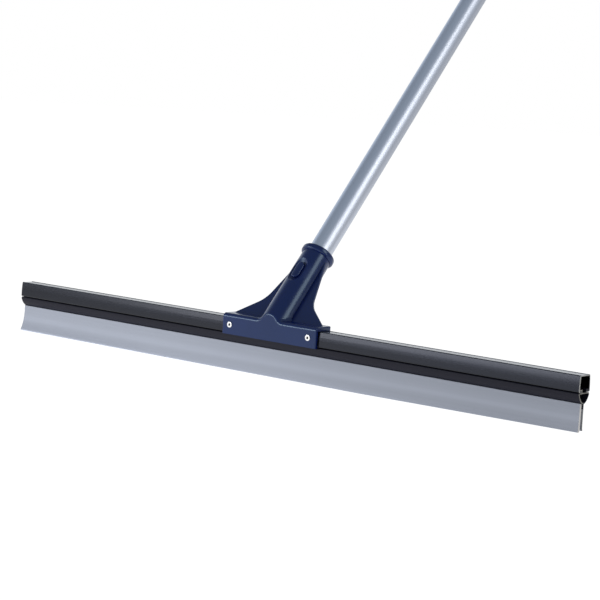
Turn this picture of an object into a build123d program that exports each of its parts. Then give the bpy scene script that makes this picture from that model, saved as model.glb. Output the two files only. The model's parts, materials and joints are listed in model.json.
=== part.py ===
from build123d import *
from math import asin, atan2, cos, degrees, radians, sin, sqrt, tan
import os

# Floor squeegee: a hollow rail carries a slide-in blade cassette with twin rubber lips, and a moulded
# bracket, riveted over the rail, holds a leaning handle that a push button locks.
# X runs along the head, the handle leans towards +Y and Z is up. The origin is the middle of the
# working edge, where the lips meet the floor. Sizes are in millimetres.

# Head
HEAD_LENGTH = 750.0

# Rubber lips
LIP_HEIGHT = 28.9  # showing below the cassette
LIP_THICKNESS = 2.6
LIP_FLARE = 3.0  # how far each foot turns out
LIP_FLARE_HEIGHT = 12.0  # where the foot starts to turn

# Blade cassette
CASSETTE_HEIGHT = 10.4
CASSETTE_WIDTH = 17.6
CASSETTE_WALL = 1.0
SHOULDER_RADIUS = 1.5
FLANK_RADIUS = 15.0
JAW_WIDTH = 4.0
TONGUE_THICKNESS = 1.0  # the tongue that both lips are bonded to
TONGUE_LENGTH = 5.0
HOOK_THICKNESS = 1.2

# Rail
RAIL_HEIGHT = 16.3
RAIL_DEPTH = 18.4  # across the foot
RAIL_CROWN = 16.4  # across the top
RAIL_BOW = 0.3  # of the walls, outwards
RAIL_WALL = 1.2
RAIL_TOP_RADIUS = 1.0
RAIL_FOOT_RADIUS = 1.5
RAIL_GROOVE_DEPTH = 0.3  # shallow groove along the top
RAIL_GROOVE_EDGE = 1.8  # left standing on each side of it
RAIL_SLOT = 9.8
SEAM = 0.5  # open joint between the rail and the cassette
SLIDE_GAP = 0.3  # around the cassette's hooks

# Handle tube and its place
HANDLE_LEAN = 41.7  # degrees from upright
HANDLE_SETBACK = 0.5  # of its axis, behind the middle of the rail's top
TUBE_DIAMETER = 25.0
TUBE_WALL = 1.2
TUBE_LENGTH = 1360.0

# Bracket: saddle over the rail, web, and socket with a collar
SADDLE_LENGTH = 126.6
SADDLE_PLATE = 3.2
SADDLE_TOP = 4.2
SADDLE_LAP = 1.4  # of the plates below the rail
SADDLE_FIT = 0.15
SADDLE_BROW = 3.8  # rounding above the front plate
SADDLE_RIM = 1.2  # rounding at the ends and the rear
SADDLE_CORNER = 3.0
SOCKET_LENGTH = 94.5  # from the top of the rail, along the handle
SOCKET_FLOOR = 14.0  # where the handle's end sits
SOCKET_WALL = 3.3
SOCKET_FIT = 0.1
SOCKET_DRAFT = 0.6  # degrees, wider towards the foot
SOCKET_FOOT_FILLET = 5.0
COLLAR_STEP = 2.5
COLLAR_HEIGHT = 7.0
COLLAR_ROUND = 2.4
WEB_THICKNESS = 4.0
WEB_FOOT = 120.2  # where it leaves the saddle
WEB_WAIST = 62.3
WEB_WAIST_HEIGHT = 27.6
WEB_TOP_HEIGHT = 90.0
WEB_BEND = 29.4
WEB_EDGE = 1.2

# Blind rivets
RIVET_SPACING = 106.0
RIVET_DROP = 7.4  # below the top of the rail
RIVET_DIAMETER = 3.2
RIVET_HEAD_DIAMETER = 6.5
RIVET_HEAD_HEIGHT = 1.1
RIVET_HEAD_ROUND = 0.6
RIVET_HOLE_FIT = 0.1
RIVET_BULB_DIAMETER = 4.8
RIVET_BULB_LENGTH = 2.6
RIVET_MOUTH = 0.4  # chamfer of the rivet's bore
MANDREL_DIAMETER = 2.3
MANDREL_FIT = 0.05
MANDREL_SINK = 0.8  # broken end below the rivet's face
MANDREL_HEAD_DIAMETER = 3.0
MANDREL_HEAD_LENGTH = 1.4

# Lock: button, spring and plug in the lower end of the tube
BUTTON_HEIGHT = 60.2  # along the handle from the top of the rail
BUTTON_LENGTH = 20.0
BUTTON_WIDTH = 9.2
BUTTON_STAND = 3.6  # crown above the tube
BUTTON_ROUND = 1.2
BUTTON_FLANGE_LAP = 2.0
BUTTON_FLANGE_DEPTH = 3.5
BUTTON_GAP = 0.3  # to the tube
WINDOW_GAP = 0.5  # to the socket's wall
POCKET_DEPTH = 2.7
POCKET_LENGTH = 22.0  # of its floor
POCKET_WIDTH = 14.5
POCKET_SLOPE = 56.0  # degrees that the pocket's wall leans out
SPRING_THICKNESS = 0.6
SPRING_WIDTH = 8.0
SPRING_PAD = 18.0  # flat stretch under the button
SPRING_BEND = 2.0
SPRING_FOOT = 15.0  # flat stretch on the far wall
SPRING_GAP = 0.1
PLUG_FLANGE = 2.0
PLUG_LENGTH = 14.0
PLUG_POCKET = 4.0
PLUG_FIT = 0.1

# Grip and hanging cap on the upper end of the tube
GRIP_LENGTH = 130.0
GRIP_WALL = 3.0
GRIP_FIT = 0.1
GRIP_ROUND = 2.0
GRIP_RINGS = 5
GRIP_RING_PITCH = 18.0
GRIP_RING_WIDTH = 4.0
GRIP_RING_DEPTH = 0.8
CAP_SPIGOT = 25.0
CAP_RIM = 8.0
CAP_ROUND = 2.5
CAP_INSET = 0.8  # of the rim from the grip's outside
EYE_WIDTH = 22.0
EYE_THICKNESS = 10.0
EYE_RISE = 16.0  # from the rim to the middle of the hole
EYE_HOLE = 10.0

# Levels of the head
CASSETTE_TOP = LIP_HEIGHT + CASSETTE_HEIGHT
RAIL_BOTTOM = CASSETTE_TOP + SEAM
RAIL_TOP = RAIL_BOTTOM + RAIL_HEIGHT
RIVET_Z = RAIL_TOP - RIVET_DROP
SADDLE_DEPTH = RAIL_DEPTH + 2 * (SADDLE_FIT + SADDLE_PLATE)
SADDLE_BOTTOM = RAIL_BOTTOM - SADDLE_LAP
SADDLE_HIGH = RAIL_TOP + SADDLE_TOP

# Distances from the handle's axis
TUBE_OUTER = TUBE_DIAMETER / 2
TUBE_INNER = TUBE_OUTER - TUBE_WALL
SOCKET_BORE = TUBE_OUTER + SOCKET_FIT
SOCKET_OUTER = SOCKET_BORE + SOCKET_WALL
SOCKET_ROOT = 2 * SOCKET_OUTER  # how far the blank runs on below the rail's top, to be trimmed
COLLAR_OUTER = SOCKET_OUTER + COLLAR_STEP
GRIP_OUTER = TUBE_OUTER + GRIP_FIT + GRIP_WALL
BUTTON_CROWN = TUBE_OUTER + BUTTON_STAND
BUTTON_SEAT = TUBE_INNER - BUTTON_GAP - BUTTON_FLANGE_DEPTH

# Stations along the handle's axis, from the top of the rail
TUBE_START = SOCKET_FLOOR + PLUG_FLANGE
TUBE_END = TUBE_START + TUBE_LENGTH

# The handle's own frame: z along the handle, x along the head, -y to the button's side
HANDLE_AXIS = (0, sin(radians(HANDLE_LEAN)), cos(radians(HANDLE_LEAN)))
HANDLE = Plane(origin=(0, HANDLE_SETBACK, RAIL_TOP), x_dir=(1, 0, 0), z_dir=HANDLE_AXIS)

BIG = 400.0  # larger than anything that is cut away
TINY = 0.01  # closer than any two levels
ROUNDING_SHARE = 0.9  # of the room that an edge has for its rounding


def box_between(low, high):
    """A box from its lowest to its highest corner."""
    size = [b - a for a, b in zip(low, high)]
    return Pos(*low) * Box(*size, align=(Align.MIN, Align.MIN, Align.MIN))


def on_level(edge, z):
    """Whether an edge's middle lies at a height."""
    return abs(edge.center().Z - z) < TINY


def heading(vector):
    """A plane vector's direction, in degrees."""
    return degrees(atan2(vector.Y, vector.X))


def rounding(radius, room):
    """A rounding's radius, kept within the room for it."""
    return min(radius, ROUNDING_SHARE * room)


def rail_wall():
    """The arc of the rail's wall on the +Y side, as its centre (Y, Z) and outer radius."""
    foot = Vector(RAIL_DEPTH / 2, RAIL_BOTTOM)
    crown = Vector(RAIL_CROWN / 2, RAIL_TOP)
    chord = crown - foot
    outward = Vector(chord.Y, -chord.X).normalized()
    radius = ((chord.length / 2) ** 2 + RAIL_BOW**2) / (2 * RAIL_BOW)
    return (foot + crown) / 2 - outward * (radius - RAIL_BOW), radius


def rail_inside(z):
    """Distance from the head's middle plane to the rail's inner face at a height."""
    centre, radius = rail_wall()
    return centre.X + sqrt((radius - RAIL_WALL) ** 2 - (z - centre.Y) ** 2)


def run_along_head(section):
    """Extrudes a section, drawn as (Y, Z), over the whole head."""
    return extrude(Plane.YZ * section, amount=HEAD_LENGTH / 2, both=True)


def both_sides(half):
    """A section and its mirror image across the head's middle plane."""
    return half + mirror(half, about=Plane.YZ)


def rivet_places(side):
    """Where the rivets of the front (-1) or rear (1) plate start, with their axes pointing out."""
    return [
        Plane(origin=(x, side * SADDLE_DEPTH / 2, RIVET_Z), x_dir=(1, 0, 0), z_dir=(0, side, 0))
        for x in (-RIVET_SPACING / 2, RIVET_SPACING / 2)
    ]


def rivet_grip():
    """How far a rivet reaches in, from the face of a plate to its bulb on the rail's inner face."""
    return SADDLE_DEPTH / 2 - rail_inside(RIVET_Z + RIVET_BULB_DIAMETER / 2)


def rivet_holes():
    """Holes for all rivets through the plates and the rail's walls."""
    drill = Cylinder(RIVET_DIAMETER / 2 + RIVET_HOLE_FIT, BIG, rotation=(90, 0, 0))
    return [Pos(x, 0, RIVET_Z) * drill for x in (-RIVET_SPACING / 2, RIVET_SPACING / 2)]


def lock_oval(length, width, distance):
    """An oval about the button's middle, at a distance from the axis on the button's side."""
    oval = SlotOverall(length, width, rotation=90)
    return Plane((0, -distance, BUTTON_HEIGHT), x_dir=(1, 0, 0), z_dir=(0, -1, 0)) * oval


def button_prism(margin, near):
    """The button's oval, wider by a margin all round, run outwards from a distance near the axis."""
    return extrude(lock_oval(BUTTON_LENGTH + 2 * margin, BUTTON_WIDTH + 2 * margin, near), amount=BIG)


def turned(points):
    """A solid turned about the handle's axis from (radius, station) points."""
    return revolve(Plane.XZ * make_face(Polyline(*points, close=True)), axis=Axis.Z)


def rail_outline():
    """The rail's outside: a flat top, bowed walls that lean out and a foot that turns in."""
    centre, radius = rail_wall()
    first = heading(Vector(RAIL_DEPTH / 2, RAIL_BOTTOM) - centre)
    last = heading(Vector(RAIL_CROWN / 2, RAIL_TOP) - centre)
    wall = CenterArc(centre, radius, first, last - first)
    half = make_face([wall, Polyline(wall @ 1, (0, RAIL_TOP), (0, RAIL_BOTTOM), wall @ 0)])
    outline = both_sides(half)
    outline = fillet(outline.vertices().group_by(Axis.Y)[-1], RAIL_TOP_RADIUS)
    return fillet(outline.vertices().group_by(Axis.Y)[0], RAIL_FOOT_RADIUS)


def rail():
    outer = rail_outline()
    chamber = offset(outer, amount=-RAIL_WALL, kind=Kind.INTERSECTION)
    slot = Pos(0, RAIL_BOTTOM) * Rectangle(RAIL_SLOT, RAIL_HEIGHT / 2, align=(Align.CENTER, Align.MIN))
    groove = Pos(0, RAIL_TOP) * Rectangle(RAIL_CROWN - 2 * RAIL_GROOVE_EDGE, 2 * RAIL_GROOVE_DEPTH)
    return run_along_head(outer - chamber - slot - groove) - rivet_holes()


def cassette_outline():
    """The ogive: a flat top, round shoulders, and bowed flanks that touch them and end at the jaw."""
    shoulder = Vector(CASSETTE_WIDTH / 2 - SHOULDER_RADIUS, CASSETTE_TOP - SHOULDER_RADIUS)
    jaw = Vector(JAW_WIDTH / 2, LIP_HEIGHT)
    span = jaw - shoulder
    down = span.normalized()
    inward = Vector(down.Y, -down.X)
    reach = FLANK_RADIUS - SHOULDER_RADIUS
    along = (reach**2 - FLANK_RADIUS**2 + span.length**2) / (2 * span.length)
    centre = shoulder + down * along + inward * sqrt(reach**2 - along**2)
    first = heading(shoulder - centre)
    last = heading(jaw - centre)
    round_over = CenterArc(shoulder, SHOULDER_RADIUS, 90, first - 90)
    flank = CenterArc(centre, FLANK_RADIUS, first, last - first)
    half = make_face(
        [
            Line((0, CASSETTE_TOP), round_over @ 0),
            round_over,
            flank,
            Polyline(flank @ 1, (0, LIP_HEIGHT), (0, CASSETTE_TOP)),
        ]
    )
    return both_sides(half)


def cassette_hook():
    """The hook on the +Y side that rides above the rail's turned-in lip, clear of the rail's inside."""
    neck = RAIL_SLOT / 2 - SLIDE_GAP
    under = RAIL_BOTTOM + RAIL_WALL + SLIDE_GAP
    over = under + HOOK_THICKNESS
    stem = neck - HOOK_THICKNESS
    foot = CASSETTE_TOP - CASSETTE_WALL / 2
    free = offset(rail_outline(), amount=-(RAIL_WALL + SLIDE_GAP), kind=Kind.INTERSECTION)
    toe = make_face(Polyline((stem, under), (BIG, under), (BIG, over), (stem, over), close=True))
    leg = make_face(Polyline((stem, foot), (neck, foot), (neck, over), (stem, over), close=True))
    return leg + (toe & free)


def blade_cassette():
    outline = cassette_outline()
    chamber = offset(outline, amount=-CASSETTE_WALL, kind=Kind.INTERSECTION)
    tongue = Pos(0, LIP_HEIGHT) * Rectangle(
        TONGUE_THICKNESS, TONGUE_LENGTH, align=(Align.CENTER, Align.MAX)
    )
    return run_along_head(outline - chamber + tongue + both_sides(cassette_hook()))


def lip(side):
    """One lip on the tongue's front (-1) or rear (1) face, its foot turned away from the other lip."""
    inner_y = TONGUE_THICKNESS / 2
    inner_radius = (LIP_FLARE_HEIGHT**2 + LIP_FLARE**2) / (2 * LIP_FLARE)
    outer_radius = inner_radius - LIP_THICKNESS
    centre = (inner_y + inner_radius, LIP_FLARE_HEIGHT)
    inner = CenterArc(centre, inner_radius, 180, degrees(asin(LIP_FLARE_HEIGHT / inner_radius)))
    outer = CenterArc(centre, outer_radius, 180, degrees(asin(LIP_FLARE_HEIGHT / outer_radius)))
    section = make_face(
        [
            inner,
            Line(inner @ 1, outer @ 1),
            outer,
            Polyline(outer @ 0, (inner_y + LIP_THICKNESS, LIP_HEIGHT), (inner_y, LIP_HEIGHT), inner @ 0),
        ]
    )
    if side < 0:
        section = mirror(section, about=Plane.YZ)
    return run_along_head(section)


def socket_blank():
    """The tapered socket and its rounded collar, solid, in the handle's frame."""
    foot = -SOCKET_ROOT
    neck = SOCKET_LENGTH - COLLAR_HEIGHT
    foot_radius = SOCKET_OUTER + (neck - foot) * tan(radians(SOCKET_DRAFT))
    body = turned([(0, foot), (foot_radius, foot), (SOCKET_OUTER, neck), (0, neck)])
    collar = Pos(0, 0, neck) * Cylinder(
        COLLAR_OUTER, COLLAR_HEIGHT, align=(Align.CENTER, Align.CENTER, Align.MIN)
    )
    collar = fillet(collar.edges().filter_by(GeomType.CIRCLE), rounding(COLLAR_ROUND, COLLAR_HEIGHT / 2))
    return Rot(0, 0, 90) * (body + collar)


def web():
    """The flared plate in the plane of the handle and the head, in the handle's frame."""
    half = [
        (WEB_FOOT / 2, 0),
        (WEB_FOOT / 2, SADDLE_TOP),
        (WEB_WAIST / 2, WEB_WAIST_HEIGHT),
        (SOCKET_OUTER - SOCKET_WALL / 2, WEB_TOP_HEIGHT),
    ]
    outline = make_face(Polyline(*half, *[(-x, z) for x, z in reversed(half)], close=True))
    waist = outline.vertices().filter_by(lambda v: abs(v.Y - WEB_WAIST_HEIGHT) < TINY)
    outline = fillet(waist, WEB_BEND)
    plate = extrude(Plane.XZ * outline, amount=WEB_THICKNESS / 2, both=True)
    flanks = [e for e in plate.edges() if abs(e.center().Y) > TINY and abs(e.center().X) > TINY]
    return fillet(flanks, rounding(WEB_EDGE, WEB_THICKNESS / 2))


def saddle_prism(low, high):
    """The saddle's plan, rounded at the rear corners, between two levels."""
    half_x = SADDLE_LENGTH / 2
    half_y = SADDLE_DEPTH / 2
    prism = box_between((-half_x, -half_y, low), (half_x, half_y, high))
    rear_corners = prism.edges().filter_by(Axis.Z).group_by(Axis.Y)[-1]
    return fillet(rear_corners, SADDLE_CORNER)


def socket_on_saddle():
    """The socket, faired into a wide plate and trimmed flush with the saddle's front and rear."""
    plate = box_between((-BIG, -BIG, RAIL_TOP), (BIG, BIG, SADDLE_HIGH))
    socket = HANDLE * socket_blank()
    faired = plate + socket
    foot = faired.edges().filter_by(GeomType.ELLIPSE).filter_by(lambda e: on_level(e, SADDLE_HIGH))
    faired = fillet(foot, SOCKET_FOOT_FILLET)
    rear = socket & box_between((-BIG, SADDLE_DEPTH / 2, 0), (BIG, BIG, BIG))
    return (faired & saddle_prism(RAIL_TOP, BIG)) + rear


def saddle_and_socket():
    """Both as one blank: a wide rounding over the front plate, a small one at the ends and the rear."""
    half_x = SADDLE_LENGTH / 2
    half_y = SADDLE_DEPTH / 2
    blank = saddle_prism(SADDLE_BOTTOM, SADDLE_HIGH) + socket_on_saddle()
    front = blank.faces().filter_by(Plane.XZ).sort_by(Axis.Y)[0]
    brow = [e for e in front.edges() if e.center().Z > RAIL_TOP and abs(e.center().X) < half_x - TINY]
    blank = fillet(brow, SADDLE_BROW)
    end_edges = blank.faces().filter_by(Plane.YZ).edges().filter_by(
        lambda e: e.center().Z > SADDLE_BOTTOM + TINY and e.center().Y < half_y - SADDLE_CORNER - TINY
    )
    rear_edges = blank.edges().filter_by(
        lambda e: on_level(e, SADDLE_HIGH) and e.center().Y > half_y - SADDLE_CORNER + TINY
    )
    return fillet([*end_edges, *rear_edges], SADDLE_RIM)


def handle_bracket():
    channel = box_between(
        (-BIG, -RAIL_DEPTH / 2 - SADDLE_FIT, 0),
        (BIG, RAIL_DEPTH / 2 + SADDLE_FIT, RAIL_TOP),
    )
    rebate = box_between(
        (-BIG, -CASSETTE_WIDTH / 2 - SLIDE_GAP, 0),
        (BIG, CASSETTE_WIDTH / 2 + SLIDE_GAP, CASSETTE_TOP + SLIDE_GAP),
    )
    bore = Pos(0, 0, SOCKET_FLOOR) * Cylinder(
        SOCKET_BORE, SOCKET_LENGTH, align=(Align.CENTER, Align.CENTER, Align.MIN)
    )
    floor = SOCKET_OUTER - POCKET_DEPTH
    rise = 2 * POCKET_DEPTH
    spread = 2 * rise * tan(radians(POCKET_SLOPE))
    mouth = lock_oval(POCKET_LENGTH + spread, POCKET_WIDTH + spread, floor + rise)
    pocket = loft([lock_oval(POCKET_LENGTH, POCKET_WIDTH, floor), mouth])
    window = button_prism(WINDOW_GAP, 0)
    blank = saddle_and_socket() + HANDLE * web()
    cuts = [channel, rebate, *rivet_holes(), *[HANDLE * cut for cut in (bore, pocket, window)]]
    return blank - cuts


def rivet_bodies(side):
    grip = rivet_grip()
    head = Cylinder(
        RIVET_HEAD_DIAMETER / 2, RIVET_HEAD_HEIGHT, align=(Align.CENTER, Align.CENTER, Align.MIN)
    )
    head = fillet(head.edges().group_by(Axis.Z)[-1], rounding(RIVET_HEAD_ROUND, RIVET_HEAD_HEIGHT))
    shank = Cylinder(RIVET_DIAMETER / 2, grip, align=(Align.CENTER, Align.CENTER, Align.MAX))
    bulb = Pos(0, 0, -grip) * Cylinder(
        RIVET_BULB_DIAMETER / 2, RIVET_BULB_LENGTH, align=(Align.CENTER, Align.CENTER, Align.MAX)
    )
    bore = Cylinder(MANDREL_DIAMETER / 2 + MANDREL_FIT, BIG)
    rivet = head + shank + bulb - bore
    mouth = rivet.faces().sort_by(Axis.Z)[-1].edges().sort_by(SortBy.RADIUS)[0]
    rivet = chamfer(mouth, RIVET_MOUTH)
    return Compound(children=[place * rivet for place in rivet_places(side)])


def rivet_mandrels(side):
    tail = rivet_grip() + RIVET_BULB_LENGTH
    stem = Pos(0, 0, RIVET_HEAD_HEIGHT - MANDREL_SINK) * Cylinder(
        MANDREL_DIAMETER / 2,
        RIVET_HEAD_HEIGHT - MANDREL_SINK + tail,
        align=(Align.CENTER, Align.CENTER, Align.MAX),
    )
    ball = Pos(0, 0, -tail) * Cylinder(
        MANDREL_HEAD_DIAMETER / 2, MANDREL_HEAD_LENGTH, align=(Align.CENTER, Align.CENTER, Align.MAX)
    )
    mandrel = stem + ball
    return Compound(children=[place * mandrel for place in rivet_places(side)])


def handle_tube():
    tube = turned(
        [(TUBE_INNER, TUBE_START), (TUBE_OUTER, TUBE_START), (TUBE_OUTER, TUBE_END), (TUBE_INNER, TUBE_END)]
    )
    return HANDLE * (tube - button_prism(BUTTON_GAP, 0))


def lock_button():
    """The oval crown, round like the socket, on a wider flange that the tube's wall holds in."""
    crown = button_prism(0, BUTTON_SEAT) & Cylinder(BUTTON_CROWN, BIG)
    crown = fillet(crown.faces().sort_by(Axis.Y)[0].edges(), BUTTON_ROUND)
    flange = button_prism(BUTTON_FLANGE_LAP, BUTTON_SEAT) & Cylinder(TUBE_INNER - BUTTON_GAP, BIG)
    return HANDLE * (crown + flange)


def lock_spring():
    """A bent leaf: flat under the button, back to a bend in the plug, and flat on the far wall."""
    near_y = -(BUTTON_SEAT - SPRING_GAP - SPRING_THICKNESS / 2)
    far_y = sqrt(TUBE_INNER**2 - (SPRING_WIDTH / 2) ** 2) - SPRING_GAP - SPRING_THICKNESS / 2
    low = TUBE_START + PLUG_LENGTH - PLUG_POCKET + SPRING_GAP + SPRING_THICKNESS / 2
    leaf = FilletPolyline(
        (0, near_y, BUTTON_HEIGHT + SPRING_PAD / 2),
        (0, near_y, BUTTON_HEIGHT - SPRING_PAD / 2),
        (0, -SPRING_BEND, low),
        (0, SPRING_BEND, low),
        (0, far_y, BUTTON_HEIGHT - SPRING_PAD / 2),
        (0, far_y, BUTTON_HEIGHT - SPRING_PAD / 2 + SPRING_FOOT),
        radius=rounding(SPRING_BEND, SPRING_BEND),
    )
    start = Plane(leaf @ 0, x_dir=(1, 0, 0), z_dir=leaf % 0)
    return HANDLE * sweep(start * Rectangle(SPRING_WIDTH, SPRING_THICKNESS), path=leaf)


def tube_plug():
    flange = Pos(0, 0, SOCKET_FLOOR) * Cylinder(
        TUBE_OUTER, PLUG_FLANGE, align=(Align.CENTER, Align.CENTER, Align.MIN)
    )
    body = Pos(0, 0, TUBE_START) * Cylinder(
        TUBE_INNER - PLUG_FIT, PLUG_LENGTH, align=(Align.CENTER, Align.CENTER, Align.MIN)
    )
    top = TUBE_START + PLUG_LENGTH
    half_y = 2 * SPRING_BEND + SPRING_THICKNESS
    pocket = box_between(
        (-SPRING_WIDTH / 2 - PLUG_FIT, -half_y, top - PLUG_POCKET),
        (SPRING_WIDTH / 2 + PLUG_FIT, half_y, top + PLUG_POCKET),
    )
    return HANDLE * (flange + body - pocket)


def hand_grip():
    inner = TUBE_OUTER + GRIP_FIT
    foot = TUBE_END - GRIP_LENGTH
    sleeve = turned([(inner, foot), (GRIP_OUTER, foot), (GRIP_OUTER, TUBE_END), (inner, TUBE_END)])
    rim = sleeve.edges().filter_by(GeomType.CIRCLE).group_by(Axis.Z)[0].sort_by(SortBy.RADIUS)[-1]
    sleeve = fillet(rim, rounding(GRIP_ROUND, GRIP_WALL))
    first = TUBE_END - GRIP_LENGTH / 2 - (GRIP_RINGS - 1) / 2 * GRIP_RING_PITCH
    for ring in range(GRIP_RINGS):
        low = first + ring * GRIP_RING_PITCH - GRIP_RING_WIDTH / 2
        high = low + GRIP_RING_WIDTH
        base = GRIP_OUTER - GRIP_RING_DEPTH
        sleeve -= turned([(base, low), (2 * GRIP_OUTER, low), (2 * GRIP_OUTER, high), (base, high)])
    return HANDLE * sleeve


def hanging_cap():
    spigot = Pos(0, 0, TUBE_END) * Cylinder(
        TUBE_INNER - PLUG_FIT, CAP_SPIGOT, align=(Align.CENTER, Align.CENTER, Align.MAX)
    )
    rim = Pos(0, 0, TUBE_END) * Cylinder(
        GRIP_OUTER - CAP_INSET, CAP_RIM, align=(Align.CENTER, Align.CENTER, Align.MIN)
    )
    rim = fillet(rim.edges().group_by(Axis.Z)[-1], rounding(CAP_ROUND, CAP_RIM))
    middle = TUBE_END + CAP_RIM + EYE_RISE
    tab = Pos(0, middle) * Circle(EYE_WIDTH / 2)
    tab += Pos(0, TUBE_END) * Rectangle(EYE_WIDTH, middle - TUBE_END, align=(Align.CENTER, Align.MIN))
    tab -= Pos(0, middle) * Circle(EYE_HOLE / 2)
    eye = extrude(Plane.XZ * tab, amount=EYE_THICKNESS / 2, both=True)
    return HANDLE * (spigot + rim + eye)


os.makedirs("parts", exist_ok=True)
pieces = {
    "rail": rail(),
    "blade_cassette": blade_cassette(),
    "front_lip": lip(-1),
    "rear_lip": lip(1),
    "handle_bracket": handle_bracket(),
    "front_rivets": rivet_bodies(-1),
    "front_rivet_mandrels": rivet_mandrels(-1),
    "rear_rivets": rivet_bodies(1),
    "rear_rivet_mandrels": rivet_mandrels(1),
    "handle_tube": handle_tube(),
    "lock_button": lock_button(),
    "lock_spring": lock_spring(),
    "tube_plug": tube_plug(),
    "hand_grip": hand_grip(),
    "hanging_cap": hanging_cap(),
}
for name, piece in pieces.items():
    export_step(piece, f"parts/{name}.step")
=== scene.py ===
"""Dresses the floor squeegee: finishes, modelled lips, grip and leaf spring, and a studio round it."""

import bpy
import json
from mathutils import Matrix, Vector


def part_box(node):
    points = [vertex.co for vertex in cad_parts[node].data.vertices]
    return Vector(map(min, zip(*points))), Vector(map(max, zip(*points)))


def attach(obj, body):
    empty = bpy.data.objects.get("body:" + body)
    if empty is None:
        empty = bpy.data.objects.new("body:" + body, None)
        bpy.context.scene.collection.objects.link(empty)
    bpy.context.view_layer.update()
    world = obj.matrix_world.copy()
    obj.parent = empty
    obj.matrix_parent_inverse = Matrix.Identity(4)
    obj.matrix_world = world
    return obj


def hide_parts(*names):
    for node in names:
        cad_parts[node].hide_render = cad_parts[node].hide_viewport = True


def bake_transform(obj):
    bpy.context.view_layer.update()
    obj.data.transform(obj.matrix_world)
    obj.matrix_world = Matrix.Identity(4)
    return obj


bl_info = {
    "name": "Floor squeegee",
    "version": (1, 0, 0),
    "blender": (4, 5, 0),
    "location": "View3D > Sidebar > Squeegee",
    "description": "Models the squeegee's lips, grip and leaf spring and gives every piece its finish",
    "category": "Object",
}

import json
from math import cos, pi, radians, sin

import bmesh
import bpy
from bpy.props import FloatProperty, FloatVectorProperty, IntProperty, PointerProperty
from bpy.types import NodeSocket, Operator, Panel, PropertyGroup
from mathutils import Matrix, Vector

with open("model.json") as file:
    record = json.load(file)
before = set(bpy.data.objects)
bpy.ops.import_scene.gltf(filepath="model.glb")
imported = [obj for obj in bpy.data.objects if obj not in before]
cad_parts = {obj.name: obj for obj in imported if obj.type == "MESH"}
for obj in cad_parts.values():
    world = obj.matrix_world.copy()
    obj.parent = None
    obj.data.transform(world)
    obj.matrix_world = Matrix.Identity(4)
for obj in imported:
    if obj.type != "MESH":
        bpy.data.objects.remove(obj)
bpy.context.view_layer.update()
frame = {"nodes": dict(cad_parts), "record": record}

MM = 0.001
CLOSE = 0.01 * MM
X_AXIS = Vector((1, 0, 0))
Z_AXIS = Vector((0, 0, 1))
WHITE = (1, 1, 1)

# Places on the squeegee, from the frame: back is across the handle, away from the lock button
GRIP_MOUNT = next(mount for mount in frame["record"]["mounts"] if mount["name"] == "hand_grip")
GRIP_MIDDLE = Vector(GRIP_MOUNT["pos_m"])
GRIP_RADIUS = GRIP_MOUNT["dims"]["r_mm"] * MM
RAIL_LOW, RAIL_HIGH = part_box("rail")
HEAD_HALF_LENGTH = RAIL_HIGH.x
LIP_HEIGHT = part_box("blade_cassette")[0].z
HANDLE_AXIS = Vector(GRIP_MOUNT["axis"]).normalized()
HANDLE_LEAN = Z_AXIS.angle(HANDLE_AXIS)
HANDLE_BACK = HANDLE_AXIS.cross(X_AXIS)
HANDLE_FOOT = GRIP_MIDDLE + HANDLE_AXIS * (RAIL_HIGH.z - GRIP_MIDDLE.z) / HANDLE_AXIS.z
POCKET_DEPTH = 8 * MM
POCKET_MOUTH = sum(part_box("lock_button"), Vector()) / 2 - HANDLE_BACK * POCKET_DEPTH
BACKDROP_DIRECTION = Vector((-0.3, 1, 0)).normalized()

# The Mix node's inputs and output for colours, among those for its other kinds of data
MIX_FIRST, MIX_SECOND, MIX_RESULT = 6, 7, 2

# Most of a noise's values lie between these two
NOISE_SPAN = (0.3, 0.7)

# The waves along a lip's foot: how many there are, where they start and how high they are
RIPPLE_WAVES = ((2.3, 0.0, 1.0), (5.1, 1.0, 0.5))


def length(name, description, default):
    return FloatProperty(
        name=name, description=description, default=default, subtype="DISTANCE", unit="LENGTH", precision=4
    )


def count(name, description, default, least):
    return IntProperty(name=name, description=description, default=default, min=least)


def angle(name, description, default):
    return FloatProperty(
        name=name, description=description, default=radians(default), subtype="ANGLE", unit="ROTATION"
    )


def power(name, description, default):
    return FloatProperty(
        name=name, description=description, default=default, min=0, subtype="POWER", unit="POWER"
    )


def level(name, description, default):
    return FloatProperty(name=name, description=description, default=default, min=0, subtype="FACTOR")


def camera_size(name, description, default):
    return FloatProperty(name=name, description=description, default=default, subtype="DISTANCE_CAMERA")


def place(name, description, default):
    return FloatVectorProperty(
        name=name, description=description, default=default, subtype="TRANSLATION", unit="LENGTH"
    )


def extent(name, description, default):
    return FloatVectorProperty(
        name=name, description=description, default=default, size=2, min=0, subtype="XYZ", unit="LENGTH"
    )


def colour(name, description, default):
    return FloatVectorProperty(
        name=name, description=description, default=default, size=3, min=0, max=1, subtype="COLOR"
    )


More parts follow.
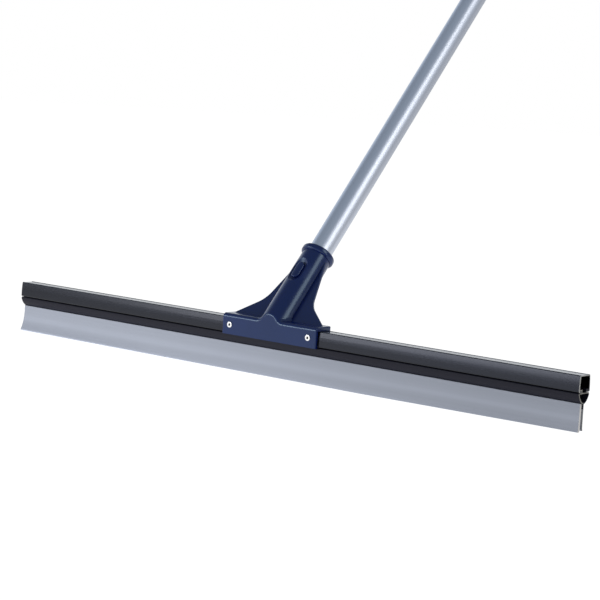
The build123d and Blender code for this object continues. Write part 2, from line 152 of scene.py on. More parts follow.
class SQUEEGEE_PG_rubber(PropertyGroup):
    """Sizes of the modelled rubber pieces"""

    lip_thickness: length("Lip thickness", "Thickness of each rubber lip", 2.6 * MM)
    lip_edge: length("Lip edge", "Rounding of the lips' long edges", 0.35 * MM)
    lip_spread_left: length("Spread, left", "How far a lip's foot curls out at the left end", 5.4 * MM)
    lip_spread_right: length("Spread, right", "How far a lip's foot curls out at the right end", 0.4 * MM)
    lip_flick: length("Flick", "How far the last of the foot turns outwards at the right end", 0.7 * MM)
    lip_flick_height: length("Flick height", "Height of the foot that turns outwards", 2.6 * MM)
    lip_growth: length("Growth", "How much longer the lips are where their feet curl", 0.3 * MM)
    lip_ripple: length("Ripple", "Height of the slow wave along the lips' feet", 0.15 * MM)
    lip_setback: length("Setback", "How far the lips stop short of the head's right end", 1.4 * MM)
    lip_rise: length("Rise", "How much shorter the lips are at the right end", 1.9 * MM)
    rear_lip_rise: length("Rear rise", "How much shorter still the rear lip is there", 1.1 * MM)
    lip_rise_start: level("Rise start", "Share of the lip's length where it starts to get shorter", 0.66)
    lip_sections: count("Lip sections", "Sections along a lip", 60, 4)
    lip_rows: count("Lip rows", "Rows down the free part of a lip", 24, 4)
    grip_bore: length("Grip bore", "Radius of the sleeve's bore", 12.6 * MM)
    grip_length: length("Grip length", "Length of the sleeve", 130 * MM)
    grip_end_round: length("Grip end rounding", "Rounding of the sleeve's ends", 2.0 * MM)
    grip_sides: count("Grip sides", "Steps round the sleeve", 72, 12)
    ring_count: count("Rings", "Ring grooves in the sleeve", 5, 1)
    ring_pitch: length("Ring pitch", "Distance from one ring groove to the next", 18 * MM)
    ring_width: length("Ring width", "Width of a ring groove", 4 * MM)
    ring_depth: length("Ring depth", "Depth of a ring groove", 0.8 * MM)
    ring_round: length("Ring rounding", "Rounding of a ring groove's edges", 0.36 * MM)


class SQUEEGEE_PG_spring(PropertyGroup):
    """Sizes of the leaf spring, along the handle from the rail's top and across from the handle's axis"""

    width: length("Width", "Width of the leaf", 8 * MM)
    thickness: length("Thickness", "Thickness of the leaf", 0.6 * MM)
    pad_reach: length("Pad reach", "From the handle's axis to the flat under the button", 7.1 * MM)
    pad_low: length("Pad low", "Where the flats begin", 51.2 * MM)
    pad_high: length("Pad high", "Where the flat under the button ends", 69.2 * MM)
    foot_reach: length("Foot reach", "From the handle's axis to the flat on the far wall", 10.17 * MM)
    foot_high: length("Foot high", "Where the flat on the far wall ends", 66.2 * MM)
    bend_low: length("Bend low", "Where the leaf turns back, in the plug", 26.4 * MM)
    bend: length("Bend", "Half the width of that turn", 2 * MM)
    bend_round: length("Bend rounding", "How far a rounding starts from its corner", 1.6 * MM)


class SQUEEGEE_PG_colours(PropertyGroup):
    """Colours of the finishes"""

    rail: colour("Rail", "Dark anodised aluminium", (0.0085, 0.0105, 0.018))
    cut_metal: colour("Cut metal", "Bare aluminium at the sawn ends", (0.30, 0.30, 0.29))
    cassette: colour("Cassette", "Charcoal plastic", (0.0085, 0.0085, 0.0165))
    cut_plastic: colour("Cut plastic", "The cassette's sawn ends", (0.20, 0.195, 0.18))
    lip: colour("Lip", "Light grey rubber", (0.36, 0.39, 0.465))
    cut_lip: colour("Cut lip", "The front lip's cut ends", (0.56, 0.55, 0.545))
    # The rear lip's cut ends are darkened with painted shade, for the shadow in the gap between the lips
    rear_cut_shade: colour("Rear cut", "The rear lip's shaded cut ends", (0.115, 0.12, 0.13))
    navy: colour("Navy", "Moulded bracket, button and cap", (0.003, 0.0095, 0.08))
    rivet: colour("Rivet", "Bright aluminium", (0.90, 0.90, 0.90))
    mandrel: colour("Mandrel", "Broken steel stems", (0.035, 0.034, 0.03))
    tube: colour("Tube", "Natural anodised aluminium", (0.545, 0.585, 0.67))
    spring: colour("Spring", "Rolled steel strip", (0.36, 0.36, 0.37))
    plug: colour("Plug", "Black plastic", (0.010, 0.010, 0.012))
    grip: colour("Grip", "Dark grip rubber", (0.012, 0.014, 0.026))
    floor: colour("Floor", "Pale studio floor", (0.86, 0.86, 0.86))


class SQUEEGEE_PG_stage(PropertyGroup):
    """The studio round the squeegee"""

    aim: place("Aim", "Point that the camera looks at", (0.0297, -0.0002, 0.0839))
    distance: length("Distance", "From the camera to that point", 2.14739)
    turn: angle("Turn", "How far the camera stands to the right of the head's front", 39.29)
    height: angle("Height", "The camera's angle above the horizon", 6.69)
    roll: angle("Roll", "The camera's turn about its line of sight", 3.47)
    lens: camera_size("Lens", "Focal length in millimetres", 125.669)
    sensor: camera_size("Sensor", "Width of the camera's sensor in millimetres", 36)
    floor_radius: length("Floor radius", "Radius of the studio floor", 9.0)
    floor_sides: count("Floor sides", "Sides of the studio floor's rim", 96, 12)
    floor_drop: length("Floor drop", "How far the floor lies below the lips", 0.2 * MM)
    floor_glow: level("Floor glow", "Share of the floor's look that doesn't depend on the lamps", 0.85)
    near_floor: level("Near floor", "Level of the floor as it is seen, and as near metal mirrors it", 1.2)
    far_floor: level("Far floor", "Level at which metal mirrors the floor further off", 0.7)
    glow_left: level("Glow, left", "Level at which the floor on the left lights matt surfaces", 1.88)
    glow_right: level("Glow, right", "Level at which the floor on the right lights matt surfaces", 1.08)
    backdrop: level("Backdrop", "Level of the backdrop behind the head", 1.0)
    left_wall: level("Left wall", "Level of the wall on the left", 1.05)
    right_wall: level("Right wall", "Level of the wall on the right", 0.5)
    ceiling: level("Ceiling", "Level straight above", 0.42)
    ceiling_left: level("Ceiling, left", "Level of the ceiling on the left", 0.33)
    horizon: level("Horizon", "Level at which the horizon lights matt surfaces", 0.6)
    zenith: level("Zenith", "Level at which the ceiling lights matt surfaces", 0.04)
    front_power: power("Front softbox", "Power of the low softbox in front", 15.0)
    front_tint: colour("Front tint", "Colour of its light", WHITE)
    front_place: place("Front place", "Where it stands", (-1.4, -2.19, 0.42))
    front_aim: place("Front aim", "Point that it faces", (0.1, 0, 0.05))
    front_size: extent("Front size", "Its width and height", (1.25, 0.58))
    side_power: power("Side softbox", "Power of the tall softbox on the right", 26.0)
    side_tint: colour("Side tint", "Colour of its light", (1, 0.955, 0.9))
    side_place: place("Side place", "Where it stands", (2.75, 0.35, 1.65))
    side_aim: place("Side aim", "Point that it faces", (0, 0.1, 0.1))
    side_size: extent("Side size", "Its width and height", (0.85, 2.6))


def add_node(tree, kind, inputs=None, **settings):
    """A shader node with its settings; each input is linked to a socket or set to a value."""
    node = tree.nodes.new("ShaderNode" + kind)
    for name, value in settings.items():
        setattr(node, name, value)
    for key, value in (inputs or {}).items():
        if isinstance(value, NodeSocket):
            tree.links.new(value, node.inputs[key])
        else:
            node.inputs[key].default_value = value
    return node


def maths(tree, operation, first, second=0.0):
    return add_node(tree, "Math", {0: first, 1: second}, operation=operation).outputs["Value"]


def away_from(tree, value, middle):
    """How far a value is from a middle."""
    return maths(tree, "ABSOLUTE", maths(tree, "SUBTRACT", value, middle))


def spread_over(tree, value, low, high, to_low=0.0, to_high=1.0):
    """Maps low..high to to_low..to_high, softly and without passing them."""
    node = add_node(
        tree,
        "MapRange",
        {"Value": value, "From Min": low, "From Max": high, "To Min": to_low, "To Max": to_high},
        interpolation_type="SMOOTHSTEP",
    )
    return node.outputs["Result"]


def over_noise(tree, value, to_low=0.0, to_high=1.0):
    """Maps most of a noise's values to to_low..to_high."""
    return spread_over(tree, value, *NOISE_SPAN, to_low, to_high)


def mixed(tree, factor, first, second, how="MIX"):
    """Two colours mixed; each is a socket or a colour."""
    first, second = (one if isinstance(one, NodeSocket) else (*one, 1) for one in (first, second))
    inputs = {"Factor": factor, MIX_FIRST: first, MIX_SECOND: second}
    return add_node(tree, "Mix", inputs, data_type="RGBA", blend_type=how).outputs[MIX_RESULT]


def toned(shade, share):
    """A share of a colour: darker below one, and paler above it."""
    return tuple(channel * share for channel in shade)


def noise(tree, vector, scale, detail=2.0, roughness=0.5):
    inputs = {"Vector": vector, "Scale": scale, "Detail": detail, "Roughness": roughness}
    return add_node(tree, "TexNoise", inputs).outputs["Fac"]


def turned(tree, vector, rotation=(0, 0, 0), scale=(1, 1, 1)):
    """A vector turned and scaled, so that a pattern on it lies another way or is drawn out."""
    node = add_node(tree, "Mapping", {"Vector": vector, "Rotation": rotation, "Scale": scale})
    return node.outputs["Vector"]


def shader_group(name, fill, **inputs):
    """A node group that is built once, with these inputs and the outputs that fill returns."""
    if name in bpy.data.node_groups:
        return bpy.data.node_groups[name]
    tree = bpy.data.node_groups.new(name, "ShaderNodeTree")
    tree.interface.new_socket("Vector", in_out="INPUT", socket_type="NodeSocketVector")
    for socket, default in inputs.items():
        made = tree.interface.new_socket(socket, in_out="INPUT", socket_type="NodeSocketFloat")
        made.default_value = default
    results = fill(tree, tree.nodes.new("NodeGroupInput").outputs)
    for socket in results:
        tree.interface.new_socket(socket, in_out="OUTPUT", socket_type="NodeSocketFloat")
    end = tree.nodes.new("NodeGroupOutput")
    for socket, result in results.items():
        tree.links.new(result, end.inputs[socket])
    return tree


def moulded_skin():
    """Fine grain of a moulded or extruded surface, and the slow unevenness of its tone."""

    def fill(tree, given):
        fine = noise(tree, given["Vector"], given["Grain"], detail=3.0, roughness=0.6)
        slow = noise(tree, given["Vector"], given["Cloud"], detail=4.0, roughness=0.55)
        return {"Grain": fine, "Cloud": over_noise(tree, slow)}

    return shader_group("moulded_skin", fill, Grain=2400.0, Cloud=14.0)


def drawn_lines():
    """Fine lines that drawing or extruding leaves along a piece; the vector's X runs along them."""

    def fill(tree, given):
        stretched = turned(tree, given["Vector"], scale=(0.004, 1, 1))
        fine = noise(tree, stretched, given["Fine"])
        coarse = noise(tree, stretched, given["Coarse"], detail=3.0, roughness=0.6)
        return {"Fine": fine, "Coarse": over_noise(tree, coarse)}

    return shader_group("drawn_lines", fill, Fine=2600.0, Coarse=420.0)


def handling_marks():
    """Sparse faint scuffs, as from handling and storing."""
    patch_span, scratch_span = (0.55, 0.75), (0.58, 0.72)

    def fill(tree, given):
        where = noise(tree, given["Vector"], given["Scale"], detail=1.0)
        streaks = turned(tree, given["Vector"], rotation=(0.4, 0.9, 0.3), scale=(0.12, 1, 1))
        lines = noise(tree, streaks, given["Fine"])
        patch = spread_over(tree, where, *patch_span)
        scratch = spread_over(tree, lines, *scratch_span)
        mask = maths(tree, "MULTIPLY", maths(tree, "MULTIPLY", patch, scratch), given["Amount"])
        return {"Mask": mask}

    return shader_group("handling_marks", fill, Scale=60.0, Fine=900.0, Amount=0.5)


def at_cut(tree, off_middle, half, depth):
    """One on the faces that end a piece at this half length, and zero from this depth inwards."""
    face_depth = 0.1 * MM
    return spread_over(tree, off_middle, half - depth, half - face_depth)


def sawn_end():
    """One where the saw left a piece bare: at the head's ends, on its front wall and its level wall; the cut
    faces of the walls behind keep the dark skin as painted shade.
    """
    cut_depth, front_depth = 0.25 * MM, 0.7 * MM
    wall_span, wall_share = (1.2 * MM, 1.8 * MM), 0.75

    def fill(tree, given):
        across, back, height = add_node(tree, "SeparateXYZ", {"Vector": given["Vector"]}).outputs
        end = at_cut(tree, maths(tree, "ABSOLUTE", across), HEAD_HALF_LENGTH, cut_depth)
        behind = maths(tree, "SUBTRACT", back, given["Front"])
        # Painted shade: the bare cut fades out behind the front wall, so the rear walls' cut faces stay dark
        front = spread_over(tree, behind, 0, front_depth, 1.0, 0.0)
        wall = spread_over(tree, away_from(tree, height, given["Level"]), *wall_span, wall_share, 0.0)
        return {"Mask": maths(tree, "MULTIPLY", end, maths(tree, "MAXIMUM", front, wall))}

    return shader_group("sawn_end", fill, Front=0.0, Level=0.0)


class Finish:
    """A material under way: its tree, its shader and the piece's own coordinates."""

    def __init__(self, name, **constants):
        self.material = bpy.data.materials.new(name)
        self.material.use_nodes = True
        self.tree = self.material.node_tree
        self.shader = self.tree.nodes["Principled BSDF"]
        self.here = add_node(self.tree, "TexCoord").outputs["Object"]
        for socket, value in constants.items():
            self.shader.inputs[socket.replace("_", " ")].default_value = value

    def group(self, tree, vector=None, **values):
        """Places a node group on the piece's coordinates or another vector; returns its outputs."""
        node = add_node(self.tree, "Group", node_tree=tree)
        self.tree.links.new(vector or self.here, node.inputs["Vector"])
        for socket, value in values.items():
            node.inputs[socket].default_value = value
        return node.outputs

    def along_handle(self):
        """The piece's coordinates with X along the handle."""
        upright = turned(self.tree, self.here, rotation=(HANDLE_LEAN, 0, 0))
        return turned(self.tree, upright, rotation=(0, pi / 2, 0))

    def layered(self, shade, mask, low, high, *layers):
        """A shade between two shares of itself, with layers of (mask, share) over it."""
        body = mixed(self.tree, mask, toned(shade, low), toned(shade, high))
        for layer, share in layers:
            body = mixed(self.tree, layer, body, toned(shade, share))
        return body

    def grained(self, grain, low, high, *layers):
        """A value between two levels, with layers of (mask, amount) added to it."""
        value = over_noise(self.tree, grain, low, high)
        for layer, amount in layers:
            value = maths(self.tree, "ADD", value, maths(self.tree, "MULTIPLY", layer, amount))
        return value

    def connect(self, **sockets):
        for socket, value in sockets.items():
            self.tree.links.new(value, self.shader.inputs[socket.replace("_", " ")])

    def bump(self, height, depth):
        node = add_node(self.tree, "Bump", {"Height": height, "Distance": depth})
        self.tree.links.new(node.outputs["Normal"], self.shader.inputs["Normal"])


def anodised_rail(colours):
    """Dark satin metal with fine lines along it, bare where the saw cut the front wall and the top; the rear
    walls' cut faces stay dark as painted shade.
    """
    finish = Finish("anodised_rail", IOR=1.5, Coat_Weight=0.52, Coat_Roughness=0.2)
    lines = finish.group(drawn_lines(), Fine=1900.0, Coarse=330.0)
    cloud = finish.group(moulded_skin(), Cloud=9.0)["Cloud"]
    marks = finish.group(handling_marks(), Amount=0.35)["Mask"]
    # Bare sawn ends, with painted shade on the rear walls' cut faces
    cut = finish.group(sawn_end(), Front=-7.5 * MM, Level=RAIL_HIGH.z)["Mask"]
    skin = finish.layered(colours.rail, lines["Coarse"], 0.9, 1.08, (cloud, 1.04), (marks, 1.9))
    finish.connect(
        Base_Color=mixed(finish.tree, cut, skin, colours.cut_metal),
        Roughness=finish.grained(lines["Fine"], 0.22, 0.28, (cut, 0.3)),
        Metallic=finish.grained(lines["Fine"], 0.97, 1.0),
    )
    finish.bump(lines["Fine"], 0.004 * MM)
    return finish.material


def charcoal_cassette(colours):
    """Dark extruded plastic, paler where the saw cut the front wall and the wall under the rail; the rear
    wall's cut face stays dark as painted shade.
    """
    finish = Finish("charcoal_cassette", IOR=1.48, Specular_IOR_Level=0.15)
    lines = finish.group(drawn_lines(), Fine=1500.0, Coarse=260.0)
    skin = finish.group(moulded_skin(), Grain=1800.0, Cloud=11.0)
    # Paler sawn ends, with painted shade on the rear wall's cut face
    cut = finish.group(sawn_end(), Front=-1 * MM, Level=RAIL_LOW.z - 1 * MM)["Mask"]
    body = finish.layered(colours.cassette, lines["Coarse"], 0.88, 1.12, (skin["Cloud"], 1.06))
    finish.connect(
        Base_Color=mixed(finish.tree, cut, body, colours.cut_plastic),
        Roughness=finish.grained(skin["Grain"], 0.40, 0.50, (cut, 0.2)),
    )
    finish.bump(lines["Fine"], 0.015 * MM)
    return finish.material


def lip_rubber(name, shade, cut, sizes):
    """Matt rubber with painted light and shade: a painted highlight round its bend, painted light along its
    foot, and painted shade towards the right and towards the cassette; its ends are cut.
    """
    # Painted light and shade: shares of the rubber's colour along the lip, at its top, round its bend and at
    # its foot
    painted_light_left, painted_light_right, painted_shade_top = 1.09, 0.96, 0.93
    painted_highlight, painted_off_highlight, painted_foot_light = 1.11, 0.97, 1.28
    highlight_height, highlight_reach = 0.63 * LIP_HEIGHT, 0.24 * LIP_HEIGHT
    foot_height, foot_light_span = 0.1 * LIP_HEIGHT, (1 * MM, 4 * MM)
    painted_falloff_span = (-0.25 * HEAD_HALF_LENGTH, HEAD_HALF_LENGTH)
    cloud_share, cut_depth = 0.4, 0.2 * MM
    finish = Finish(name, IOR=1.45)
    tree = finish.tree
    lines = finish.group(drawn_lines(), Fine=1200.0, Coarse=170.0)
    skin = finish.group(moulded_skin(), Grain=3000.0, Cloud=7.0)
    cloud = maths(tree, "MULTIPLY", skin["Cloud"], cloud_share)
    body = finish.layered(shade, lines["Coarse"], 0.95, 1.05, (cloud, 1.06))
    across, _, height = add_node(tree, "SeparateXYZ", {"Vector": finish.here}).outputs
    # Painted light at the left end, fading to painted shade towards the right
    foot = spread_over(tree, across, *painted_falloff_span, painted_light_left, painted_light_right)
    # Painted shade towards the top, under the cassette
    tone = spread_over(tree, height, foot_height, LIP_HEIGHT, foot, painted_shade_top)
    # Painted highlight: a paler band at the height of the bend
    off_highlight = away_from(tree, height, highlight_height)
    bend = spread_over(tree, off_highlight, 0, highlight_reach, painted_highlight, painted_off_highlight)
    # Painted light along the last millimetres of the foot
    edge = spread_over(tree, height, *foot_light_span, painted_foot_light, 1.0)
    tone = maths(tree, "MULTIPLY", maths(tree, "MULTIPLY", tone, bend), edge)
    body = mixed(tree, 1.0, body, tone, how="MULTIPLY")
    # The cut ends take the given colour; on the rear lip that colour is painted shade
    off_middle = away_from(tree, across, -sizes.lip_setback / 2)
    end = at_cut(tree, off_middle, HEAD_HALF_LENGTH - sizes.lip_setback / 2, cut_depth)
    finish.connect(
        Base_Color=mixed(tree, end, body, cut),
        Roughness=finish.grained(skin["Grain"], 0.50, 0.62),
    )
    finish.bump(skin["Grain"], 0.02 * MM)
    return finish.material


def navy_plastic(name, colours, pocket):
    """Satin navy; the given amount makes it rougher in the pocket round the lock button."""
    pocket_span = (14 * MM, 17 * MM)
    finish = Finish(name, IOR=1.46, Specular_IOR_Level=0.6, Specular_Tint=(0.62, 0.84, 1, 1))
    skin = finish.group(moulded_skin(), Grain=2600.0, Cloud=22.0)
    marks = finish.group(handling_marks(), Amount=0.25)["Mask"]
    away = add_node(finish.tree, "VectorMath", {0: finish.here, 1: POCKET_MOUTH}, operation="DISTANCE")
    in_pocket = spread_over(finish.tree, away.outputs["Value"], *pocket_span, 1.0, 0.0)
    finish.connect(
        Base_Color=finish.layered(colours.navy, skin["Cloud"], 0.94, 1.06, (marks, 1.5)),
        Roughness=finish.grained(skin["Grain"], 0.18, 0.22, (marks, 0.1), (in_pocket, pocket)),
    )
    finish.bump(skin["Grain"], 0.004 * MM)
    return finish.material


def drawn_tube(colours):
    """Pale satin metal with fine lines along the handle."""
    finish = Finish("drawn_tube")
    lines = finish.group(drawn_lines(), finish.along_handle(), Fine=2200.0, Coarse=300.0)
    marks = finish.group(handling_marks(), Scale=25.0, Amount=0.08)["Mask"]
    finish.connect(
        Base_Color=finish.layered(colours.tube, lines["Coarse"], 0.985, 1.015, (marks, 0.85)),
        Roughness=finish.grained(lines["Fine"], 0.39, 0.42),
        Metallic=spread_over(finish.tree, marks, 0, 1, 1.0, 0.92),
    )
    return finish.material


def worked_metal(name, shade, rough, grain=1500.0, depth=0.01 * MM):
    """Metal that was pressed, broken or rolled, between a low and a high roughness."""
    finish = Finish(name)
    skin = finish.group(moulded_skin(), Grain=grain, Cloud=180.0)
    finish.connect(
        Base_Color=finish.layered(shade, skin["Cloud"], 0.92, 1.0),
        Roughness=finish.grained(skin["Grain"], *rough),
        Metallic=spread_over(finish.tree, skin["Cloud"], 0, 1, 0.97, 1.0),
    )
    finish.bump(skin["Grain"], depth)
    return finish.material


def dark_rubber(name, shade):
    """Matt dark rubber or plastic with a fine texture and pale scuffs."""
    finish = Finish(name, IOR=1.45)
    skin = finish.group(moulded_skin(), Grain=1500.0, Cloud=40.0)
    marks = finish.group(handling_marks(), Amount=0.3)["Mask"]
    finish.connect(
        Base_Color=finish.layered(shade, skin["Cloud"], 0.85, 1.2, (marks, 2.4)),
        Roughness=finish.grained(skin["Grain"], 0.52, 0.68),
    )
    finish.bump(skin["Grain"], 0.06 * MM)
    return finish.material


def give(material, *nodes):
    """Puts one finish on these CAD nodes."""
    for node in nodes:
        slots = frame["nodes"][node].material_slots
        if not slots:
            raise RuntimeError(f"{node} has no material slot")
        for one in slots:
            one.material = material


def new_piece(name, bm, material, smooth_below=radians(35)):
    """A piece at the origin from a finished bmesh, smooth but for its sharp edges."""
    bmesh.ops.recalc_face_normals(bm, faces=bm.faces[:])
    for face in bm.faces:
        face.smooth = True
    for edge in bm.edges:
        edge.smooth = edge.is_manifold and edge.calc_face_angle() < smooth_below
    mesh = bpy.data.meshes.new(name)
    bm.to_mesh(mesh)
    bm.free()
    mesh.materials.append(material)
    piece = bpy.data.objects.new(name, mesh)
    bpy.context.scene.collection.objects.link(piece)
    return piece


def sliced(bm, stations, axis):
    """Cuts a shape across an axis at each station."""
    for station in stations:
        everything = bm.verts[:] + bm.edges[:] + bm.faces[:]
        bmesh.ops.bisect_plane(bm, geom=everything, plane_co=axis * station, plane_no=axis)


def rounded(bm, edges, offset, segments):
    """Rounds these edges of a shape."""
    bmesh.ops.bevel(
        bm,
        geom=edges,
        offset=offset,
        offset_type="OFFSET",
        segments=segments,
        profile=0.5,
        affect="EDGES",
        material=-1,
    )


def lip_shape(node, side, sizes):
    """A rubber strip against the cassette's tongue, curling outwards towards its foot."""
    low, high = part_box(node)
    high.x -= sizes.lip_setback
    left = low.x
    inner = low.y if side > 0 else high.y
    size = Vector((high.x - low.x, sizes.lip_thickness, high.z - low.z))
    middle = Vector(((low.x + high.x) / 2, inner + side * sizes.lip_thickness / 2, (low.z + high.z) / 2))
    bm = bmesh.new()
    bmesh.ops.create_cube(bm, size=1, matrix=Matrix.Translation(middle) @ Matrix.Diagonal((*size, 1)))
    along = [edge for edge in bm.edges if abs(edge.verts[0].co.x - edge.verts[1].co.x) > size.x / 2]
    rounded(bm, along, sizes.lip_edge, segments=3)
    free = LIP_HEIGHT - low.z
    steps, rows = sizes.lip_sections, sizes.lip_rows
    sliced(bm, [left + size.x * step / steps for step in range(1, steps)], X_AXIS)
    sliced(bm, [low.z + free * row / rows for row in range(1, rows + 1)], Z_AXIS)
    full_rise = sizes.lip_rise + max(0, side) * sizes.rear_lip_rise
    for vert in bm.verts:
        down = low.z + free - vert.co.z
        if down <= 0:
            continue
        share = (vert.co.x - left) / size.x
        ripple = sum(tall * sin(2 * pi * waves * share + start) for waves, start, tall in RIPPLE_WAVES)
        spread = sizes.lip_spread_left + (sizes.lip_spread_right - sizes.lip_spread_left) * share
        spread += sizes.lip_ripple * ripple * (1 - share)
        rise = full_rise * max(0.0, (share - sizes.lip_rise_start) / (1 - sizes.lip_rise_start))
        turn = 2 * spread / free
        bend = turn * down / free
        reach = (1 - cos(bend)) * free / turn
        drop = sin(bend) * free / turn + (sizes.lip_growth * (1 - share) - rise) * down / free
        flick = max(0.0, 1 - (free - down) / sizes.lip_flick_height) ** 2 * sizes.lip_flick * share
        aside = vert.co.y - middle.y
        vert.co.y = middle.y + side * (reach + flick) + aside * cos(bend)
        vert.co.z = low.z + free - drop + side * aside * sin(bend)
    return bm


def spring_shape(sizes):
    """A bent leaf: flat under the button, back to a bend in the plug, and flat on the far wall."""
    outline = [
        (-sizes.pad_reach, sizes.pad_high),
        (-sizes.pad_reach, sizes.pad_low),
        (-sizes.bend, sizes.bend_low),
        (sizes.bend, sizes.bend_low),
        (sizes.foot_reach, sizes.pad_low),
        (sizes.foot_reach, sizes.foot_high),
    ]
    side = HANDLE_FOOT - X_AXIS * sizes.width / 2
    bm = bmesh.new()
    line = [bm.verts.new(side + HANDLE_BACK * back + HANDLE_AXIS * along) for back, along in outline]
    edges = [bm.edges.new(pair) for pair in zip(line, line[1:])]
    far_side = bmesh.ops.extrude_edge_only(bm, edges=edges)["geom"]
    far_verts = [item for item in far_side if isinstance(item, bmesh.types.BMVert)]
    bmesh.ops.translate(bm, verts=far_verts, vec=X_AXIS * sizes.width)
    rounded(bm, [edge for edge in bm.edges if len(edge.link_faces) == 2], sizes.bend_round, segments=4)
    bm.normal_update()
    for vert in bm.verts:
        vert.co += vert.normal * sizes.thickness / 2
    bmesh.ops.solidify(bm, geom=bm.faces[:], thickness=sizes.thickness)
    return bm


def grip_profile(sizes):
    """The sleeve's half section as (along the handle, from its axis): bore, ends, lands and ring grooves."""
    half = sizes.grip_length / 2
    floor = GRIP_RADIUS - sizes.ring_depth
    first = -sizes.ring_pitch * (sizes.ring_count - 1) / 2
    outline = [(-half, sizes.grip_bore), (-half, GRIP_RADIUS)]
    for ring in range(sizes.ring_count):
        start = first + ring * sizes.ring_pitch - sizes.ring_width / 2
        end = first + ring * sizes.ring_pitch + sizes.ring_width / 2
        outline += [(start, GRIP_RADIUS), (start, floor), (end, floor), (end, GRIP_RADIUS)]
    return outline + [(half, GRIP_RADIUS), (half, sizes.grip_bore)]


def along_and_out(vert):
    """A vertex's place along the handle, from the grip's middle, and its distance from the handle's axis."""
    away = vert.co - GRIP_MIDDLE
    along = away.dot(HANDLE_AXIS)
    return along, (away - HANDLE_AXIS * along).length


def grip_shape(sizes):
    """The sleeve, spun round the handle's axis, with rounded ends and ring grooves."""
    bm = bmesh.new()
    profile = [GRIP_MIDDLE + HANDLE_AXIS * along + HANDLE_BACK * out for along, out in grip_profile(sizes)]
    corners = [bm.verts.new(corner) for corner in profile]
    loop = [bm.edges.new(pair) for pair in zip(corners, corners[1:] + corners[:1])]
    bmesh.ops.spin(
        bm,
        geom=corners + loop,
        cent=GRIP_MIDDLE,
        axis=HANDLE_AXIS,
        angle=2 * pi,
        steps=sizes.grip_sides,
        use_merge=True,
    )
    bmesh.ops.remove_doubles(bm, verts=bm.verts[:], dist=CLOSE)
    bmesh.ops.recalc_face_normals(bm, faces=bm.faces[:])
    ends, grooves = [], []
    for edge in bm.edges:
        (along, out), (far_along, far_out) = (along_and_out(vert) for vert in edge.verts)
        if abs(along - far_along) > CLOSE or abs(out - far_out) > CLOSE:
            continue
        if sizes.grip_length / 2 - abs(along) > CLOSE:
            grooves.append(edge)
        elif out > GRIP_RADIUS - CLOSE:
            ends.append(edge)
    rounded(bm, ends, sizes.grip_end_round, segments=5)
    rounded(bm, [edge for edge in grooves if edge.is_valid], sizes.ring_round, segments=3)
    return bm


class SQUEEGEE_OT_rail(Operator):
    """Give the rail its dark anodised finish and bare sawn ends"""

    bl_idname = "squeegee.rail"
    bl_label = "Finish rail"

    def execute(self, context):
        give(anodised_rail(context.scene.squeegee_colours), "rail")
        return {"FINISHED"}


class SQUEEGEE_OT_cassette(Operator):
    """Give the blade cassette its charcoal finish"""

    bl_idname = "squeegee.cassette"
    bl_label = "Finish cassette"

    def execute(self, context):
        give(charcoal_cassette(context.scene.squeegee_colours), "blade_cassette")
        return {"FINISHED"}


class SQUEEGEE_OT_lips(Operator):
    """Model the two rubber lips with their feet curled outwards"""

    bl_idname = "squeegee.lips"
    bl_label = "Model lips"

    def execute(self, context):
        colours = context.scene.squeegee_colours
        sizes = context.scene.squeegee_rubber
        # The rear lip's cut ends get painted shade
        for node, side, cut in (("front_lip", -1, colours.cut_lip), ("rear_lip", 1, colours.rear_cut_shade)):
            rubber = lip_rubber(node + "_rubber", colours.lip, cut, sizes)
            lip = new_piece(node + "_strip", lip_shape(node, side, sizes), rubber)
            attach(lip, "cassette")
            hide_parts(node)
        return {"FINISHED"}


class SQUEEGEE_OT_mouldings(Operator):
    """Give the bracket, its lock button and the hanging cap their navy finish"""

    bl_idname = "squeegee.mouldings"
    bl_label = "Finish mouldings"

    def execute(self, context):
        colours = context.scene.squeegee_colours
        give(navy_plastic("navy_moulding", colours, pocket=0.17), "handle_bracket", "hanging_cap")
        give(navy_plastic("navy_button", colours, pocket=-0.04), "lock_button")
        return {"FINISHED"}


class SQUEEGEE_OT_rivets(Operator):
    """Give the blind rivets and their broken stems their metal"""

    bl_idname = "squeegee.rivets"
    bl_label = "Finish rivets"

    def execute(self, context):
        colours = context.scene.squeegee_colours
        bright = worked_metal("rivet_aluminium", colours.rivet, rough=(0.22, 0.3))
        broken = worked_metal(
            "broken_stem", colours.mandrel, rough=(0.5, 0.65), grain=4000.0, depth=0.05 * MM
        )
        give(bright, "front_rivets", "rear_rivets")
        give(broken, "front_rivet_mandrels", "rear_rivet_mandrels")
        return {"FINISHED"}


class SQUEEGEE_OT_handle(Operator):
    """Give the handle's tube and the plug in it their finishes"""

    bl_idname = "squeegee.handle"
    bl_label = "Finish handle"

    def execute(self, context):
        colours = context.scene.squeegee_colours
        give(drawn_tube(colours), "handle_tube")
        give(dark_rubber("plug_plastic", colours.plug), "tube_plug")
        return {"FINISHED"}


class SQUEEGEE_OT_spring(Operator):
    """Model the leaf spring, with its flat under the lock button"""

    bl_idname = "squeegee.spring"
    bl_label = "Model spring"

    def execute(self, context):
        sizes = context.scene.squeegee_spring
        colours = context.scene.squeegee_colours
        steel = worked_metal("rolled_spring", colours.spring, rough=(0.25, 0.38))
        leaf = new_piece("spring_leaf", spring_shape(sizes), steel)
        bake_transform(leaf)
        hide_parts("lock_spring")
        return {"FINISHED"}


class SQUEEGEE_OT_grip(Operator):
    """Model the rubber sleeve that the hand holds"""

    bl_idname = "squeegee.grip"
    bl_label = "Model grip"

    def execute(self, context):
        rubber = dark_rubber("grip_rubber", context.scene.squeegee_colours.grip)
        sleeve = new_piece("grip_sleeve", grip_shape(context.scene.squeegee_rubber), rubber)
        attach(sleeve, "frame")
        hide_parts("hand_grip")
        return {"FINISHED"}


